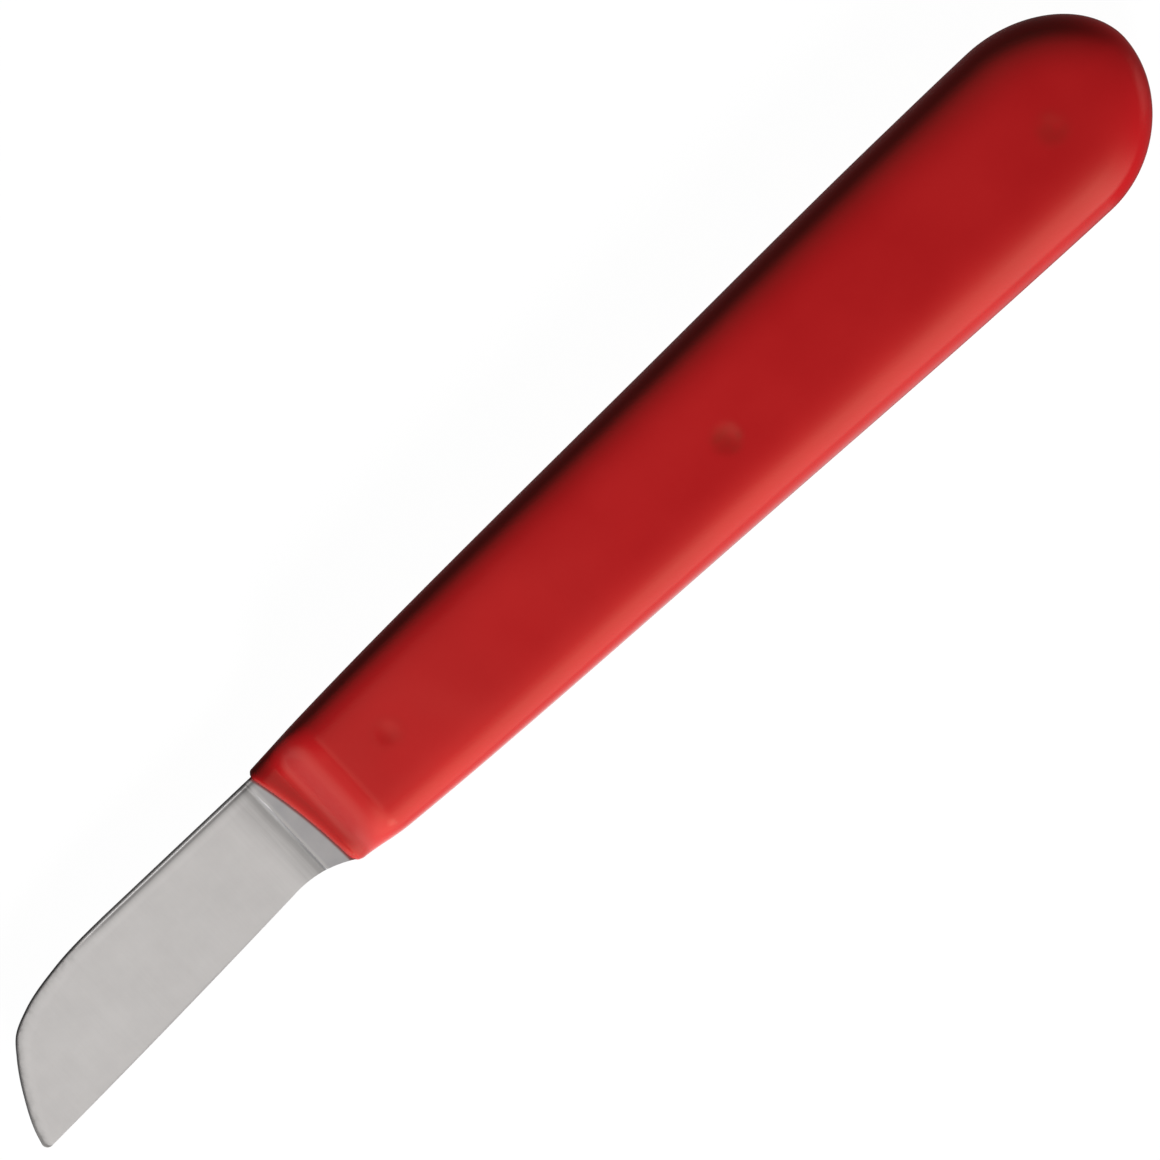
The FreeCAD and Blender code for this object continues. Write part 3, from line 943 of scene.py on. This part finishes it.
def steel_material():
    """Satin-ground steel: plain ricasso, painted shade and a painted dark reflection at the plunge line,
    painted shade along the spine, a painted dark rim round the nose, painted shade on faces towards the edge,
    and a painted shadow and red reflection at the lip.
    """
    material, tree, shader = new_material("ground_steel")
    where = object_coordinates(tree)
    axes = separate(tree, where)
    grind = noise(tree, stretched(tree, where, (3600.0, 120.0, 120.0)), 1.0, 3.0, 0.6)
    cloud = noise(tree, where, 260.0, 4.0, 0.6)
    fleck = noise(tree, stretched(tree, where, (1500.0, 1100.0, 1100.0)), 1.0, 3.0)
    flank = band(tree, axes["X"], (PLUNGE_X - 0.40) * MM, (PLUNGE_X - 0.15) * MM)
    ground = mix(tree, band(tree, cloud, 0.3, 0.7), (0.745, 0.733, 0.741), (0.790, 0.778, 0.786))
    plain = mix(tree, band(tree, cloud, 0.3, 0.7), (0.60, 0.60, 0.625), (0.69, 0.68, 0.695))
    colour = mix(tree, flank, plain, ground)
    ahead = math_node(tree, "MULTIPLY", math_node(tree, "SUBTRACT", axes["X"], PLUNGE_X * MM), 1 / MM)
    # Painted shade of the plunge hollow, just ahead of the plunge line.
    colour = dimmed(tree, colour, curve_through(tree, ahead, PLUNGE_PAINTED_SHADE))
    # Painted dark reflection of the plunge hollow, on the edge-side half only.
    plunge_reflection = math_node(tree, "SUBTRACT", 1.0, curve_through(tree, ahead, PLUNGE_PAINTED_REFLECTION))
    plunge_reflection = math_node(tree, "MULTIPLY", plunge_reflection, band(tree, axes["Y"], *PLUNGE_REFLECTION_FADE))
    colour = dimmed(tree, colour, math_node(tree, "SUBTRACT", 1.0, plunge_reflection))
    zone = curve_through(tree, ahead, STREAK_ZONE)
    streak = math_node(tree, "MULTIPLY", band(tree, grind, 0.35, 0.70, 0.0, 0.09), zone)
    colour = dimmed(tree, colour, math_node(tree, "SUBTRACT", 1.0, streak))
    rim = tree.nodes.new("ShaderNodeAttribute")
    rim.attribute_name = "rim"
    inset = rim.outputs["Fac"]
    # Painted shade along the spine: its rounded rim and the step at the grind's start are darkened.
    spine_shade = curve_through(tree, inset, SPINE_PAINTED_SHADE)
    # Painted dark rim round the nose, standing in for its rounded edge reflecting dark; noise makes its inner
    # border ragged.
    rim_jitter = math_node(tree, "MULTIPLY", math_node(tree, "SUBTRACT", fleck, 0.5), 0.9)
    jittered_inset = math_node(tree, "ADD", inset, math_node(tree, "MULTIPLY", rim_jitter, band(tree, inset, 0.2, 0.6)))
    nose_rim_shade = curve_through(tree, jittered_inset, NOSE_RIM_PAINTED_SHADE)
    nose = band(tree, axes["X"], *NOSE_FADE)
    shade = tree.nodes.new("ShaderNodeMix")
    tree.links.new(nose, shade.inputs["Factor"])
    tree.links.new(spine_shade, shade.inputs["A"])
    tree.links.new(nose_rim_shade, shade.inputs["B"])
    colour = dimmed(tree, colour, shade.outputs["Result"])
    normal = tree.nodes.new("ShaderNodeTexCoord").outputs["Normal"]
    # Painted shade: faces turned towards the edge side are dimmed, so the honed bevel mirrors less of the
    # bright wall.
    honed = band(tree, separate(tree, normal)["Y"], *EDGE_FACING_SHADE_FADE, 1.0, 0.84)
    colour = dimmed(tree, colour, honed)
    # Painted contact shadow and painted red reflection of the skin's lip on the steel just ahead of it.
    lip_shadow = band(tree, lip_distance(tree, axes), *LIP_SHADOW_FADE, smooth_step=True)
    tree.links.new(mix(tree, lip_shadow, (0.36, 0.11, 0.11), colour), shader.inputs["Base Color"])
    shader.inputs["Metallic"].default_value = 1.0
    tree.links.new(band(tree, grind, 0.3, 0.7, 0.40, 0.46), shader.inputs["Roughness"])
    bump(tree, shader, grind, 0.04, 0.00002)
    return material


def wood_material():
    """Sanded beech with a fine grain along the grip and short dark flecks."""
    material, tree, shader = new_material("sanded_beech")
    where = object_coordinates(tree)
    grain = noise(tree, stretched(tree, where, (60.0, 900.0, 900.0)), 1.0, 6.0, 0.6)
    fleck = noise(tree, stretched(tree, where, (700.0, 3000.0, 3000.0)), 1.0, 2.0)
    wood = mix(tree, band(tree, grain, 0.35, 0.65), (0.48, 0.27, 0.13), (0.64, 0.41, 0.22))
    colour = mix(tree, band(tree, fleck, 0.60, 0.72, 0.0, 0.6), wood, (0.30, 0.15, 0.07))
    tree.links.new(colour, shader.inputs["Base Color"])
    tree.links.new(band(tree, grain, 0.3, 0.7, 0.55, 0.70), shader.inputs["Roughness"])
    bump(tree, shader, grain, 0.2, 0.00005)
    return material


def brass_material():
    """Brass filed across, with fine scratches."""
    material, tree, shader = new_material("filed_brass")
    where = object_coordinates(tree)
    scratch = noise(tree, stretched(tree, where, (900.0, 9000.0, 900.0)), 1.0, 3.0)
    colour = mix(tree, band(tree, scratch, 0.35, 0.65), (0.60, 0.42, 0.16), (0.74, 0.55, 0.24))
    tree.links.new(colour, shader.inputs["Base Color"])
    shader.inputs["Metallic"].default_value = 1.0
    tree.links.new(band(tree, scratch, 0.3, 0.7, 0.28, 0.42), shader.inputs["Roughness"])
    bump(tree, shader, scratch, 0.1, 0.00002)
    return material


def dress(piece, material):
    """Gives a piece one material in place of its own."""
    piece.data.materials.clear()
    piece.data.materials.append(material)


# ---------------------------------------------------------------- the object
make_camera()
make_stage()
make_lights()
bpy.context.scene.view_settings.view_transform = "Standard"

skin = make_skin()
dress(skin, skin_material())
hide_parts("handle_coating")
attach(skin, "root")

wood = wood_material()
brass = brass_material()
blade = make_blade()
dress(blade, steel_material())
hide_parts("blade")
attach(blade, "root")
for name in ("upper_scale", "lower_scale"):
    dress(NODES[name], wood)
for name in PIN_NAMES:
    dress(NODES[name], brass)
